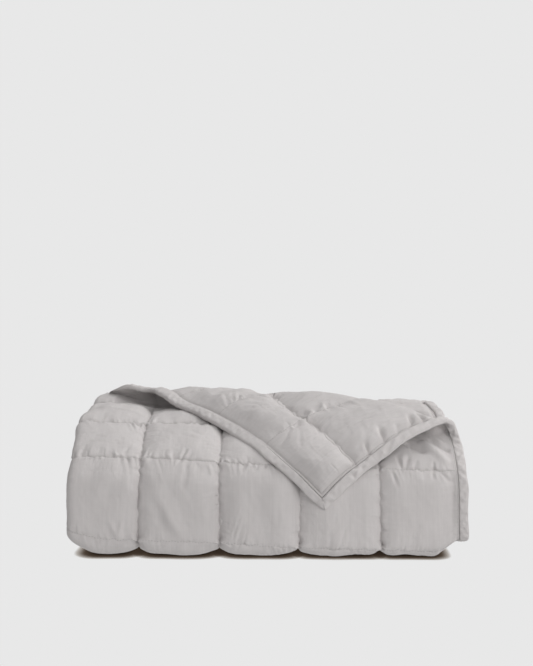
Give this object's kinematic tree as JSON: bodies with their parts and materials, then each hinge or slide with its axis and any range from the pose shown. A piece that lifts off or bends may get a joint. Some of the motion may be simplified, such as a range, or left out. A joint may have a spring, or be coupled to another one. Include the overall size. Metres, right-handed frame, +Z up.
{
  "type": "folded linen quilt",
  "caption": "Box-quilted linen quilt, doubled and folded into a soft stack, with a bound edge and one corner turned back over the front.",
  "frame": {"origin": "middle of the underside of the folded stack's box, on the surface it lies on", "axes": "+Z up; +X to the right along the wrapped front; +Y back, away from the side the turned corner hangs over"},
  "size_m": [0.4976, 0.3172, 0.1842],
  "materials": {
    "linen": "matte plain-weave linen, warm light grey, slubbed",
    "linen_binding": "matte plain-weave linen, folded and stitched"
  },
  "bodies": {
    "root": {"quilt": "linen", "binding": "linen_binding"}
  },
  "joints": []
}
